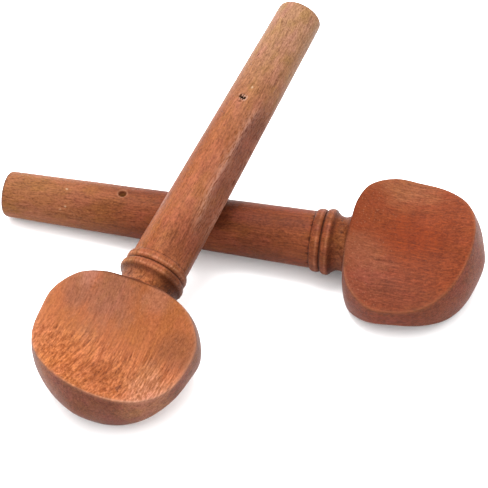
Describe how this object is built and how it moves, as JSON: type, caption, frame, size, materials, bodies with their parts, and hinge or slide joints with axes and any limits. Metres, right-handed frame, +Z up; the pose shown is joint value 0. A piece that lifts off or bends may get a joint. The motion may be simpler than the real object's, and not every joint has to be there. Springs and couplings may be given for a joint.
{
  "type": "pair of tuning pegs",
  "caption": "Pair of turned wooden tuning pegs with tapered shanks, beaded collars and dished round heads, lying crossed.",
  "frame": {"origin": "on the surface the pegs lie on, under the middle of the pair", "axes": "+Z up, +X roughly along the lower peg towards its head, +Y away from the upper peg's head"},
  "size_m": [0.1274, 0.1178, 0.0409],
  "materials": {
    "dark_peg_wood": "polished reddish brown hardwood with fine dark pores",
    "light_peg_wood": "polished orange brown hardwood, streaked across the lower half of the head"
  },
  "bodies": {
    "lower_peg": {"lower_peg": "dark_peg_wood"},
    "upper_peg": {"upper_peg": "light_peg_wood"}
  },
  "joints": [
    {"name": "upper_peg_lift", "type": "slide", "parent": "lower_peg", "child": "upper_peg", "axis": [0, 0, 1], "range_m": [0, 0.06]}
  ]
}
